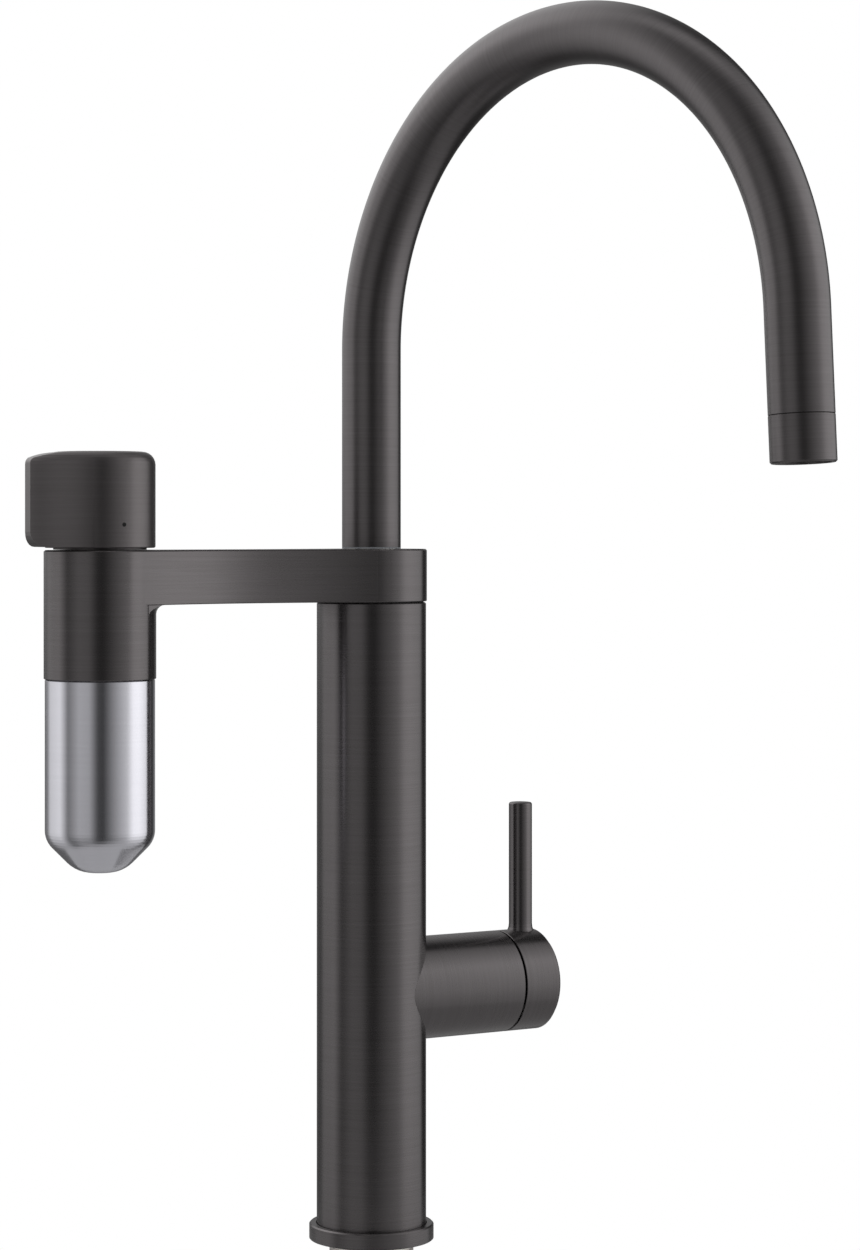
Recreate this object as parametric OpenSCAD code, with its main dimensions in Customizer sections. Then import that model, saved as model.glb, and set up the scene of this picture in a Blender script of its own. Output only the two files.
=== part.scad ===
// Kitchen mixer tap with a swivel spout, a side pin lever and a filter capsule on a side arm.
// Millimetres. Z is up and z = 0 is the worktop. The front of the tap looks along -Y,
// the lever is at +X and the filter arm at -X. The column stands on the Z axis.

/* [Column and base] */
// Diameter of the upright column
column_d = 40; // [39.5:0.5:42]
// Height of the column's top face
column_top = 232.4; // [225:0.1:245]
// Diameter of the base flange
flange_d = 45.5; // [44.5:0.5:60]
// Height of the base flange
flange_h = 5.8; // [5:0.1:8]
// Thickness of the worktop that the fixing set leaves room for
worktop_h = 30; // [20:1:34]
// Diameter of the threaded shank
shank_d = 32; // [31:0.5:32]
// Length of the shank below the worktop's top face
shank_length = 55; // [54:1:90]

/* [Spout] */
// Outer diameter of the spout tube
tube_d = 21.5; // [21.5:0.1:24]
// Wall thickness of the spout tube
tube_wall = 1.5; // [1.2:0.1:1.5]
// Radius of the arch, measured to the middle of the tube
arch_r = 104.3; // [80:0.1:130]
// Angle that the arch turns through
arch_sweep = 176.9; // [150:0.1:180]
// Height of the arch's centre
arch_z = 324.4; // [300:0.1:380]
// Length of the straight end after the arch
tail_length = 49.7; // [30:0.1:80]
// Length of the outlet ring on the straight end
outlet_ring_h = 15.4; // [14:0.1:20]
// How far the spout stands turned from the front towards the lever
spout_turn = 8.7; // [-60:0.1:60]

/* [Side lever] */
// Height of the lever's axis
lever_z = 90; // [60:1:150]
// Diameter of the lever housing and of its cap
lever_d = 37.6; // [37:0.1:39]
// Distance from the column's axis to the end of the housing
housing_end = 55.7; // [55:0.1:58]
// Gap between the housing and the cap
cap_gap = 0.7; // [0.6:0.1:1]
// Distance from the column's axis to the outer face of the cap
cap_end = 72; // [71:0.1:75]
// Diameter of the lever rod
rod_d = 8.7; // [7:0.1:9]
// Distance from the column's axis to the rod's axis
rod_x = 66; // [65:0.1:66.5]
// Height of the rod's tip
rod_top = 156.5; // [130:0.1:190]

/* [Filter arm] */
// Distance between the column's axis and the filter head's axis
arm_length = 111.5; // [100:0.1:130]
// Diameter of the ring round the column's axis
hub_d = 40.6; // [40.6:0.1:42]
// Height of the arm's underside
arm_bottom = 232.8; // [225.5:0.1:245.5]
// Thickness of the arm
arm_h = 19.1; // [18.8:0.1:22]
// Width of the arm at its narrowest
arm_waist = 16.9; // [14:0.1:24]
// Diameter of the filter head
head_d = 39.2; // [39:0.1:42]
// Height of the filter head's lower edge
head_bottom = 207; // [200:0.1:210]

/* [Knob and capsule] */
// Diameter of the filter knob
knob_d = 38.7; // [36:0.1:40]
// Height of the filter knob
knob_h = 33.5; // [28:0.1:40]
// Reach of the knob's tongue from the knob's axis
tongue_reach = 26.3; // [24:0.1:30]
// Width of the end of the knob's tongue
tongue_w = 6.1; // [3:0.1:9]
// Diameter of the filter capsule
capsule_d = 38.4; // [37.5:0.1:39]
// Height of the capsule's lowest point
capsule_bottom = 139.6; // [135:0.1:145]
// Radius at which the capsule's cone and its bottom would meet
capsule_foot_r = 8; // [6:0.1:12]

/* [Hidden] */
$fn = 96;

gunmetal = [0.33, 0.32, 0.32];
steel = [0.76, 0.78, 0.81];
brass = [0.78, 0.62, 0.32];
rubber = [0.09, 0.09, 0.09];
white = [0.9, 0.9, 0.88];
grey_plastic = [0.45, 0.47, 0.5];
ceramic = [0.93, 0.92, 0.9];
copper = [0.75, 0.45, 0.3];

slack = 0.05;      // radial play of parts that fit each other
play = 0.3;        // space between parts that move past each other
seam = 0.15;       // open line between parts that all but touch
cut = 1;           // how far a cutting shape runs past what it cuts

column_r = column_d / 2;
column_foot = 3.2; // the column stands this high, in the flange's recess
bore_r = 17.6;     // inside of the column
shank_r = shank_d / 2;
shank_top = 15.9;
fixing_h = [3, 2, 10]; // gasket, washer and nut
rotation_tip = 0.5;    // small edge break on turned parts

// Swivel: column head, bush and spout foot
head_floor = 206;
spigot_r = 15.9;
spigot_top = 247;
bush_r = 11;
journal_r = 9.5;
foot_bottom = 208;
riser_bottom = 252.6;
feed_port_z = 240.1;
return_port_z = 243.9;
hub_ring_z = [238.2, 242, 245.8];
foot_ring_z = [226, 241.4, 246.2];
ring_section = 0.65;
screw_z = 220;
hub_screw_z = 235.3;
feed_angle = 160;
return_angle = 200;
feed_r = 12.9;

// Side lever cartridge. Everything tilts round one point on the lever's axis.
lever_r = lever_d / 2;
socket_r = 16.8;
seat_x = 14;
pivot_x = 42;
dome_r = 22.6;
cap_hollow_r = 23.6;
dome_hole_r = 14.6;
inlet_y = 7;
inlet_x = 2;
manifold_z = [66, 114];

// Filter valve in the arm's head
arm_top = arm_bottom + arm_h;
head_r = head_d / 2;
chamber_r = 11;
chamber_floor = 230;
neck_chamber_top = 222;
knob_bottom = arm_top + 0.8;
knob_top = knob_bottom + knob_h;
knob_r = knob_d / 2;
capsule_r = capsule_d / 2;
capsule_top = head_bottom - seam;
capsule_wall = 1.3;
pipe_offset = 4;

function arc(x, y, r, from, to, steps = 6) =
  [for (i = [0:steps]) let (a = from + (to - from) * i / steps) [x + r * cos(a), y + r * sin(a)]];

module ring(r_in, r_out, z_low, z_high) {
  translate([0, 0, z_low])
    difference() {
      cylinder(r = r_out, h = z_high - z_low);
      translate([0, 0, -cut]) cylinder(r = r_in, h = z_high - z_low + 2 * cut);
    }
}

module rod(r, z_low, z_high) {
  translate([0, 0, z_low]) cylinder(r = r, h = z_high - z_low);
}

module o_ring(r_mid, z) {
  rotate_extrude() translate([r_mid, z]) circle(r = ring_section, $fn = 32);
}

// A turned disc or bar whose two outer edges are broken.
module turned(r, z_low, z_high, low_edge = rotation_tip, high_edge = rotation_tip) {
  rotate_extrude()
    polygon([[0, z_low], [r - low_edge, z_low], [r, z_low + low_edge],
             [r, z_high - high_edge], [r - high_edge, z_high], [0, z_high]]);
}

// A straight drilling between two points.
module drilling(from, to, r) {
  span = to - from;
  length = norm(span);
  translate(from)
    rotate([0, acos(span.z / length), atan2(span.y, span.x)])
      cylinder(r = r, h = length);
}

// Local Z becomes the lever's axis, +X, and the local origin is the column's axis.
module on_lever_axis() {
  translate([0, 0, lever_z]) rotate([0, 90, 0]) children();
}

module on_filter_axis() {
  translate([-arm_length, 0, 0]) children();
}

// Local X points along the spout's reach.
module on_spout_plane() {
  rotate([0, 0, spout_turn - 90]) children();
}

join_step = 0.02;
outlet_lean = 180 - arch_sweep;
arch_end = [arch_r + arch_r * cos(outlet_lean), arch_z + arch_r * sin(outlet_lean)];

// Local Z runs back up the straight end, from the outlet's face.
module on_outlet_axis() {
  on_spout_plane()
    translate([arch_end.x, 0, arch_end.y])
      rotate([0, -outlet_lean, 0])
        translate([0, 0, -tail_length]) children();
}

// ---------------------------------------------------------------- base and worktop fixing

seal_groove = [18, 20.6, 1.6]; // inner radius, outer radius, depth

module base_flange() {
  color(gunmetal)
    difference() {
      turned(flange_d / 2, 0, flange_h, 0.3, 0.5);
      rod(column_r + play, column_foot, flange_h + cut);
      rod(shank_r + play, -cut, flange_h);
      ring(seal_groove[0], seal_groove[1], -cut, seal_groove[2]);
    }
}

module base_seal() {
  color(rubber)
    ring(seal_groove[0] + 0.1, seal_groove[1] - 0.1, 0, seal_groove[2]);
}

module shank() {
  color(brass)
    difference() {
      turned(shank_r, -shank_length, shank_top, 0.8, 0.3);
      rod(shank_r - 2.5, -shank_length - cut, shank_top + cut);
    }
}

module deck_gasket() {
  top = -worktop_h;
  color(rubber) ring(shank_r + 0.4, 26, top - fixing_h[0], top);
}

module deck_washer() {
  top = -worktop_h - fixing_h[0];
  color(steel) ring(shank_r + 0.4, 26.5, top - fixing_h[1], top);
}

module deck_nut() {
  top = -worktop_h - fixing_h[0] - fixing_h[1];
  color(brass)
    difference() {
      translate([0, 0, top - fixing_h[2]]) cylinder(r = 24, h = fixing_h[2], $fn = 6);
      rod(shank_r + slack, top - fixing_h[2] - cut, top + cut);
    }
}

// ---------------------------------------------------------------- column and its insides

module column() {
  color(gunmetal)
    difference() {
      turned(column_r, column_foot, column_top, 0.3, 0.4);
      rod(shank_r + slack, column_foot - cut, 20);
      rod(bore_r, 16, column_top + cut);
      on_lever_axis() rod(socket_r, seat_x, housing_end + cut);
      drilling([0, 12, screw_z], [0, column_r + cut, screw_z], 2.5);
    }
}

// Brazed to the column's side, round the hole that the cartridge goes in through.
module lever_housing() {
  color(gunmetal)
    difference() {
      on_lever_axis() turned(lever_r, 0, housing_end, 0.3, 0.3);
      on_lever_axis() rod(socket_r, -cut, housing_end + cut);
      rod(column_r, lever_z - lever_d, lever_z + lever_d);
    }
}

// Brass block that carries the cartridge's seat, the two inlets and the outlets.
module valve_manifold() {
  color(brass)
    difference() {
      rod(bore_r - 0.1, manifold_z[0], manifold_z[1]);
      translate([seat_x, -30, manifold_z[0] - cut]) cube([30, 60, 60]);
      for (side = [-1, 1]) {
        drilling([inlet_x, side * inlet_y, manifold_z[0] - cut],
                 [inlet_x, side * inlet_y, manifold_z[0] + 10], 4.5);
        drilling([inlet_x, side * inlet_y, manifold_z[0] + 9],
                 [inlet_x, side * inlet_y, lever_z - 1], 3);
        drilling([inlet_x, side * inlet_y, lever_z - 4],
                 [seat_x + cut, side * inlet_y, lever_z - 4], 2.5);
      }
      drilling([0, 0, lever_z + 8], [seat_x + cut, 0, lever_z + 8], 3);
      drilling([0, 0, lever_z + 4.5], [0, 0, manifold_z[1] + cut], 4.2);
      drilling([0, 0, manifold_z[1] - 6], [0, 0, manifold_z[1] + cut], 5 + slack);
      feed = feed_r * [cos(feed_angle), sin(feed_angle)];
      drilling([inlet_x, inlet_y, lever_z - 5], [feed.x, feed.y, manifold_z[1] - 8], 1.4);
      drilling([feed.x, feed.y, manifold_z[1] - 8], [feed.x, feed.y, manifold_z[1] + cut],
               1.8 + slack);
    }
}

module mixed_water_pipe() {
  color(copper) ring(4.2, 5, manifold_z[1] - 6, head_floor - 2.5);
}

module filter_feed_pipe() {
  color(copper)
    rotate([0, 0, feed_angle]) translate([feed_r, 0, 0])
      ring(1.1, 1.8, manifold_z[1] - 7.5, head_floor - 2.5);
}

// Screwed into the column. Its upper spigot centres the filter arm and seals the arm's water
// ways, and its bore holds the bush that the spout turns in.
module column_head() {
  color(brass)
    difference() {
      union() {
        rod(bore_r - 0.1, 200, column_top);
        turned(spigot_r, column_top - cut, spigot_top);
      }
      rod(bush_r, head_floor, spigot_top + cut);
      rod(4.2, 200 - cut, head_floor + cut);
      rod(5 + slack, 200 - cut, head_floor - 2.5);
      for (z = hub_ring_z) ring(spigot_r - 1.3, spigot_r + cut, z - 0.8, z + 0.8);
      for (z = [feed_port_z, return_port_z]) ring(spigot_r - 0.6, spigot_r + cut, z - 0.6, z + 0.6);
      rotate([0, 0, feed_angle]) {
        translate([feed_r, 0, 0]) rod(1.8 + slack, 200 - cut, head_floor - 2.5);
        translate([feed_r, 0, 0]) rod(1.1, head_floor - 3, feed_port_z + 1.1);
        drilling([feed_r, 0, feed_port_z], [spigot_r, 0, feed_port_z], 0.9);
      }
      rotate([0, 0, return_angle])
        drilling([bush_r - 2, 0, return_port_z], [spigot_r, 0, return_port_z], 1);
      drilling([0, 8, screw_z], [0, bore_r + cut, screw_z], 2.5);
    }
}

// Dark washer that the arm's hub sits on; it shows as the thin line under the hub.
module hub_washer() {
  color(rubber) ring(spigot_r + 0.1, hub_d / 2 - 1.2, column_top, arm_bottom);
}

module hub_o_rings() {
  color(rubber) for (z = hub_ring_z) o_ring(spigot_r - ring_section, z);
}

module hub_screw() {
  color(steel)
    difference() {
      drilling([0, spigot_r, hub_screw_z], [0, hub_d / 2 - 0.2, hub_screw_z], 1.45);
      translate([0, hub_d / 2 - 2, hub_screw_z]) rotate([-90, 0, 0])
        cylinder(r = 0.85, h = 3, $fn = 6);
    }
}

module swivel_bush() {
  color(white)
    difference() {
      ring(journal_r + slack, bush_r - 0.02, head_floor + 0.5, spigot_top);
      rotate([0, 0, return_angle])
        drilling([journal_r - 2, 0, return_port_z], [bush_r + cut, 0, return_port_z], 1);
      drilling([0, 5, screw_z], [0, bush_r + cut, screw_z], 2.6);
    }
}

// Grub screw at the back that runs in the spout foot's groove and keeps the spout down.
module spout_screw() {
  color(steel)
    difference() {
      drilling([0, journal_r - 0.4, screw_z], [0, column_r - 0.3, screw_z], 2.4);
      translate([0, column_r - 3.5, screw_z]) rotate([-90, 0, 0])
        cylinder(r = 1.4, h = 4, $fn = 6);
    }
}

// ---------------------------------------------------------------- spout

tube_r = tube_d / 2;
tube_in_r = tube_r - tube_wall;

module slide_ring() {
  color(rubber) ring(journal_r + 0.5, tube_r, arm_top + play / 2, riser_bottom);
}

// The foot turns in the bush. Mixed water rises round its middle, filtered water comes in
// through the side groove and leaves through the central drilling.
module spout_foot() {
  bridge_low = 236;
  bridge_high = 250;
  color(brass)
    difference() {
      union() {
        turned(journal_r, foot_bottom, riser_bottom, 0.5, 0.1);
        rod(tube_in_r - slack, riser_bottom - cut, riser_bottom + 12);
      }
      rod(7.2, foot_bottom - cut, bridge_low);
      rod(7.2, bridge_high, riser_bottom + 12 + cut);
      rod(3 + slack, bridge_high - 4, bridge_high + cut);
      rod(2, return_port_z - 1, bridge_high);
      for (i = [0:5])
        rotate([0, 0, 60 * i + 30]) translate([5.1, 0, 0]) rod(1.7, bridge_low - cut, bridge_high + cut);
      for (side = [0, 180])
        rotate([0, 0, side]) drilling([0, 0, return_port_z], [journal_r, 0, return_port_z], 0.8);
      ring(journal_r - 0.9, journal_r + cut, return_port_z - 0.9, return_port_z + 0.9);
      for (z = foot_ring_z) ring(journal_r - 1.4, journal_r + cut, z - 0.8, z + 0.8);
      ring(journal_r - 1, journal_r + cut, screw_z - 2.9, screw_z + 2.9);
    }
}

module foot_o_rings() {
  color(rubber) for (z = foot_ring_z) o_ring(journal_r - ring_section - 0.05, z);
}

// The run of a pipe of radius r through the arch: riser, bend and straight end. The straight end
// is a hair wider than the bend and reaches a little way over it, so that the two join cleanly.
module arch_run(r, z_low, end_gap) {
  rod(r, z_low, arch_z);
  translate([arch_r, 0, arch_z]) rotate([90, 0, 0]) mirror([1, 0, 0])
    rotate_extrude(angle = arch_sweep) translate([arch_r, 0]) circle(r = r);
  translate([arch_end.x, 0, arch_end.y]) rotate([0, -outlet_lean, 0])
    rod(r + join_step, -tail_length + end_gap, 1);
}

module spout_tube() {
  color(gunmetal)
    on_spout_plane()
      difference() {
        arch_run(tube_r, riser_bottom, outlet_ring_h);
        arch_run(tube_in_r, riser_bottom - cut, outlet_ring_h - cut);
      }
}

module filtered_water_tube() {
  color(white)
    on_spout_plane()
      difference() {
        arch_run(3, 246, 17);
        arch_run(2, 246 - cut, 17 - cut);
      }
}

module outlet_ring() {
  color(gunmetal)
    on_outlet_axis()
      difference() {
        union() {
          turned(tube_r, 0, outlet_ring_h, 0.5, 0.15);
          rod(tube_in_r - slack, outlet_ring_h - cut, outlet_ring_h + 5);
        }
        rod(9, -cut, 1.6);
        rod(8.3, 1, outlet_ring_h + 5 + cut);
      }
}

module outlet_seal() {
  color(rubber) on_outlet_axis() ring(6.2, 8.2, 13, 15);
}

// Plastic insert with a ring of small jets round the filtered nozzle's seat.
module outlet_jet() {
  color(grey_plastic)
    on_outlet_axis()
      difference() {
        rod(8.2, 2, 13);
        rod(3.6 + slack, 1, 14);
        for (i = [0:11]) rotate([0, 0, 30 * i]) translate([5.9, 0, 0]) rod(0.8, 1, 14);
      }
}

module filtered_nozzle() {
  color(white)
    on_outlet_axis()
      difference() {
        union() {
          rod(3.6, 1.4, 17);
          rod(4.6, 13, 17);
        }
        rod(1.8, 0, 18);
      }
}

// ---------------------------------------------------------------- side lever and cartridge

module cartridge_seals() {
  color(rubber)
    on_lever_axis() {
      for (side = [-1, 1]) translate([4, side * inlet_y, 0]) ring(2.6, 3.6, seat_x, seat_x + 1.2);
      translate([-8, 0, 0]) ring(3.1, 4.1, seat_x, seat_x + 1.2);
    }
}

module cartridge_ports(z_low, z_high) {
  for (side = [-1, 1]) translate([4, side * inlet_y, 0]) rod(2.2, z_low, z_high);
  translate([-8, 0, 0]) rod(2.7, z_low, z_high);
}

module cartridge_housing() {
  color(grey_plastic)
    on_lever_axis()
      difference() {
        union() {
          rod(socket_r - 0.1, seat_x, 19);
          rod(14, seat_x, 44);
        }
        rod(12.2, 18, 44 + cut);
        cartridge_ports(seat_x - cut, 19);
        for (side = [-1, 1]) translate([4, side * inlet_y, 0]) rod(3.7, seat_x - cut, seat_x + 1.2);
        translate([-8, 0, 0]) rod(4.2, seat_x - cut, seat_x + 1.2);
      }
}

module fixed_disc() {
  color(ceramic)
    on_lever_axis()
      difference() {
        rod(12.1, 18, 21);
        cartridge_ports(17, 22);
      }
}

module moving_disc() {
  color(ceramic)
    on_lever_axis()
      difference() {
        rod(6.4, 21.1, 24.5);
        rod(2.4, 20, 23);
      }
}

module disc_driver() {
  color(white)
    on_lever_axis()
      difference() {
        rod(4.6, 24.5, 33);
        rod(3.3, 28.5, 33 + cut);
      }
}

// Turns with the lever round the lever's axis and carries the pin that the stem tilts on.
module cartridge_carrier() {
  color(grey_plastic)
    on_lever_axis()
      difference() {
        rod(11.9, 25, 46);
        translate([-9.8, -4.95, 24]) cube([15.1, 9.9, 10.5]);
        translate([-6.8, -3.9, 33]) cube([13.6, 7.8, 14]);
        translate([0, 0, pivot_x]) rotate([90, 0, 0]) rod(1.5 + 0.01, -13, 13);
      }
}

module stem_pin() {
  color(steel)
    on_lever_axis() translate([0, 0, pivot_x]) rotate([90, 0, 0]) rod(1.5, -11.4, 11.4);
}

module stem() {
  color(brass)
    on_lever_axis()
      difference() {
        union() {
          rod(2, 30, 38);
          rod(3.5, 37, 69.8);
        }
        translate([0, 0, pivot_x]) rotate([90, 0, 0]) rod(1.5 + slack, -13, 13);
      }
}

module cartridge_nut() {
  color(brass)
    on_lever_axis()
      difference() {
        union() {
          ring(12.4, socket_r - 0.05, 44, 49);
        }
        for (i = [0:3])
          rotate([0, 0, 90 * i]) translate([socket_r - 3, -1.5, 47]) cube([cut * 3, 3, 3]);
      }
}

// Domed ring that closes the housing; the cap's hollow slides over it when the lever tilts.
module dome_ring() {
  color([0.12, 0.12, 0.12])
    on_lever_axis()
      difference() {
        union() {
          rod(socket_r - 0.05, 49, housing_end + 0.5);
          intersection() {
            translate([0, 0, pivot_x]) sphere(r = dome_r);
            rod(lever_r, housing_end + 0.02, 64);
          }
        }
        rod(dome_hole_r, 48, 66);
      }
}

rod_r = rod_d / 2;
rod_edge = 0.8;
flare = 0.5;
flare_low = lever_z + 16.6;
flare_high = lever_z + 21;

module lever_cap() {
  color(gunmetal)
    difference() {
      on_lever_axis() {
        difference() {
          turned(lever_r, housing_end + cap_gap, cap_end, 0.2, 1.2);
          translate([0, 0, pivot_x]) sphere(r = cap_hollow_r);
        }
        rod(5.8, 62.5, cap_end - 3);
      }
      on_lever_axis() rod(3.5 + slack, 60, 69.8);
      translate([rod_x, 0, 0]) {
        rod(rod_r + slack, lever_z + 14, lever_z + lever_r + cut);
        rod(rod_r + flare + slack, flare_low, lever_z + lever_r + cut);
      }
      translate([rod_x + 2.2, 0, 0]) rod(2.05, lever_z - lever_r - cut, lever_z - 3);
    }
}

// The rod's foot flares a little and stands in a recess of the cap.
module lever_rod() {
  color(gunmetal)
    translate([rod_x, 0, 0])
      rotate_extrude()
        polygon(concat([[0, lever_z + 14], [rod_r, lever_z + 14], [rod_r, flare_low + slack],
                        [rod_r + flare, flare_low + slack], [rod_r + flare, flare_high - 2.4],
                        [rod_r + flare / 3, flare_high - 1.4], [rod_r, flare_high]],
                       arc(rod_r - rod_edge, rod_top - rod_edge, rod_edge, 0, 90),
                       [[0, rod_top]]));
}

module lever_screw() {
  color(steel)
    translate([rod_x + 2.2, 0, 0])
      difference() {
        rod(2, lever_z - 13.6, lever_z - 3.55);
        translate([0, 0, lever_z - 14]) cylinder(r = 1.1, h = 3, $fn = 6);
      }
}

// ---------------------------------------------------------------- filter arm

// The arm's sides are two large arcs that run out into the hub's round and the head's round.
side_r = 121.05;
side_y = side_r + arm_waist / 2;
side_x = -arm_length / 2 + (pow(side_r + head_r, 2) - pow(side_r + hub_d / 2, 2)) / (2 * arm_length);
low_edge = 0.3;
high_edge = 0.5;
under_r = 3.2; // rounding under the arm, where it meets the head

// What is cut away beside the arm: its flanks, with both edges broken.
module beside_arm() {
  for (side = [-1, 1])
    translate([side_x, side * side_y, 0])
      rotate_extrude($fn = 360)
        polygon([[0, arm_bottom - cut], [side_r + low_edge + cut, arm_bottom - cut],
                 [side_r, arm_bottom + low_edge], [side_r, arm_top - high_edge],
                 [side_r + high_edge + cut, arm_top + cut], [0, arm_top + cut]]);
}

module under_arm() {
  difference() {
    intersection() {
      on_filter_axis()
        rotate_extrude()
          polygon(concat([[head_r - cut, arm_bottom + low_edge], [head_r - cut, arm_bottom - under_r]],
                         arc(head_r + under_r, arm_bottom - under_r, under_r, 180, 90, 5),
                         [[head_r + under_r, arm_bottom + low_edge]]));
      translate([7.8 - arm_length, -18.3, arm_bottom - 5]) cube([arm_length, 36.6, 10]);
    }
    for (side = [-1, 1])
      translate([side_x, side * side_y, 0])
        rod(side_r + low_edge, arm_bottom - 10, arm_bottom + 10);
  }
}

module filter_arm() {
  color(gunmetal)
    difference() {
      union() {
        turned(hub_d / 2, arm_bottom, arm_top, low_edge, high_edge);
        on_filter_axis() turned(head_r, head_bottom, arm_top, 0.25, high_edge);
        difference() {
          translate([7.8 - arm_length, -18.3, arm_bottom]) cube([arm_length - 15.8, 36.6, arm_h]);
          beside_arm();
        }
        under_arm();
      }
      // hub: seat of the column head's spigot and way for the spout's foot
      rod(spigot_r + 0.1, arm_bottom - cut, spigot_top + 0.4);
      rod(journal_r + 0.5, spigot_top, arm_top + cut);
      drilling([0, 12, hub_screw_z], [0, hub_d / 2 + cut, hub_screw_z], 1.5);
      // water ways
      drilling([-15, pipe_offset, feed_port_z], [9 - arm_length, pipe_offset, feed_port_z], 1.6);
      drilling([-15, -pipe_offset, return_port_z],
               [15 - arm_length, -pipe_offset, return_port_z], 1.5);
      drilling([15 - arm_length, -pipe_offset, 224.2],
               [15 - arm_length, -pipe_offset, return_port_z + 1.8], 1.7);
      drilling([-arm_length, 0, 226], [15 - arm_length, -pipe_offset, 226], 1.5);
      // head: valve chamber above, capsule seat below
      on_filter_axis() {
        rod(chamber_r, chamber_floor, arm_top + cut);
        rod(17.2, head_bottom - cut, neck_chamber_top);
        rod(5.5, neck_chamber_top - cut, 228);
        translate([-8, 0, 0]) rod(1.6, neck_chamber_top - cut, chamber_floor + cut);
      }
    }
}

module valve_seal() {
  color(rubber) on_filter_axis() ring(4, 8.6, chamber_floor, chamber_floor + 2);
}

module valve_housing() {
  color(brass)
    on_filter_axis()
      difference() {
        union() {
          rod(chamber_r - 0.1, chamber_floor, 247.8);
          rod(7.5, 247, 257);
        }
        rod(8.8, chamber_floor - cut, 243);
        rod(4 + slack, 242, 258);
        translate([-8, 0, 0]) rod(2.6, chamber_floor - cut, 236);
        drilling([0, pipe_offset, feed_port_z], [chamber_r + cut, pipe_offset, feed_port_z], 1.6);
      }
}

module valve_nut() {
  color(gunmetal)
    on_filter_axis()
      difference() {
        union() {
          rod(chamber_r - 0.05, 247.8, arm_top - 0.3);
          rod(9, arm_top - cut, 254);
        }
        rod(7.5 + 0.1, 247, 255);
      }
}

module valve_fixed_disc() {
  color(ceramic)
    on_filter_axis()
      difference() {
        rod(8.5, chamber_floor + 2, 235);
        for (side = [-1, 1]) translate([side * 4.6, 0, 0]) rod(2.2, chamber_floor + 1, 236);
      }
}

module valve_turning_disc() {
  color(ceramic)
    on_filter_axis()
      difference() {
        rod(8.5, 235.1, 238);
        for (side = [-1, 1]) translate([0, side * 4.6, 0]) rod(2.2, 234, 239);
      }
}

module valve_spindle() {
  color(brass)
    on_filter_axis()
      difference() {
        union() {
          rod(8.4, 238, 240);
          rod(4, 239, 267);
        }
        for (side = [-1, 1]) translate([0, side * 4.6, 0]) rod(2.2, 237, 241);
        ring(2.7, 5, 246.2, 247.8);
        translate([0, 2.9, 258]) translate([-4, 0, 0]) cube([8, 2, 10]);
      }
}

module spindle_o_ring() {
  color(rubber) on_filter_axis() o_ring(3.36, 247);
}

// ---------------------------------------------------------------- knob

knob_edge = 4.6;        // rounding of the knob's upper edge
skirt_r = 16.3;         // the knob stands on a ring that is set in from its side
skirt_wall = 2.5;
skirt_gap = 0.2;        // space between this ring and the arm
tongue_angle = 171;     // where the tongue points
tongue_side_r = 43;     // radius of the tongue's sides in plan
tongue_sink = 0.01;     // the sides run this far inside the round where they leave it
tongue_fall_r = 46;     // radius that the tongue's upper edge falls by
tongue_fall_x = 11;     // distance from the axis where it starts to fall
tongue_tip_r = 2.2;
tongue_heel_r = 5.2;
tongue_lift = 0.3;      // the tongue's underside is this much higher than the knob's
dot_angle = -91.8;
dot_z = 260.8;
dot_r = 0.75;
dot_depth = 0.8;

// Each side of the tongue is an arc that leaves the knob's round and ends at the tongue's end.
// Its centre lies this far from the knob's axis, in this direction.
tongue_corner = [tongue_reach, tongue_w / 2];
side_centre = tongue_side_r - knob_r + tongue_sink;
side_angle = atan2(tongue_corner.y, tongue_corner.x)
             - acos((pow(norm(tongue_corner), 2) + pow(side_centre, 2) - pow(tongue_side_r, 2))
                    / (2 * side_centre * norm(tongue_corner)));

// A disc as high as the knob, with the knob's rounded upper edge.
module knob_disc(r) {
  rotate_extrude()
    polygon(concat([[0, knob_bottom], [r - 0.4, knob_bottom], [r, knob_bottom + 0.4]],
                   arc(r - knob_edge, knob_top - knob_edge, knob_edge, 0, 90),
                   [[0, knob_top]]));
}

// Side view of the tongue. Its upper edge falls in a long arc, which runs into the tip's arc.
module tongue_side() {
  start_x = -knob_r * cos(side_angle);
  tip_x = tongue_reach - tongue_tip_r;
  tip_drop = tongue_fall_r
             - sqrt(pow(tongue_fall_r - tongue_tip_r, 2) - pow(tip_x - tongue_fall_x, 2));
  turn = acos((tip_x - tongue_fall_x) / (tongue_fall_r - tongue_tip_r));
  low = knob_bottom + tongue_lift;
  polygon(concat([[start_x, low]],
                 arc(tongue_reach - tongue_heel_r, low + tongue_heel_r, tongue_heel_r, -90, 0),
                 arc(tip_x, knob_top - tip_drop, tongue_tip_r, 0, turn),
                 arc(tongue_fall_x, knob_top - tongue_fall_r, tongue_fall_r, turn, 90),
                 [[start_x, knob_top]]));
}

module tongue() {
  intersection() {
    rotate([0, 0, side_angle]) translate([side_centre, 0, 0]) knob_disc(tongue_side_r);
    rotate([0, 0, -side_angle]) translate([side_centre, 0, 0]) knob_disc(tongue_side_r);
    rotate([90, 0, 0]) translate([0, 0, -knob_r]) linear_extrude(knob_d) tongue_side();
  }
}

module filter_knob() {
  color(gunmetal)
    on_filter_axis()
      difference() {
        union() {
          knob_disc(knob_r);
          rod(skirt_r, arm_top + skirt_gap, knob_bottom + cut);
          rotate([0, 0, tongue_angle]) tongue();
        }
        rod(11.5, arm_top, 259);
        ring(9.5, skirt_r - skirt_wall, arm_top, knob_top - 3.5);
        rod(4 + slack, 258, 267.5);
        rotate([0, 0, dot_angle])
          drilling([knob_r - dot_depth, 0, dot_z], [knob_r + cut, 0, dot_z], dot_r);
        drilling([0, 3, 263], [0, knob_r + cut, 263], 1.5);
      }
}

module knob_index_dot() {
  color(rubber)
    on_filter_axis()
      rotate([0, 0, dot_angle])
        drilling([knob_r - dot_depth, 0, dot_z], [knob_r - 0.02, 0, dot_z], dot_r - slack);
}

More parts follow.
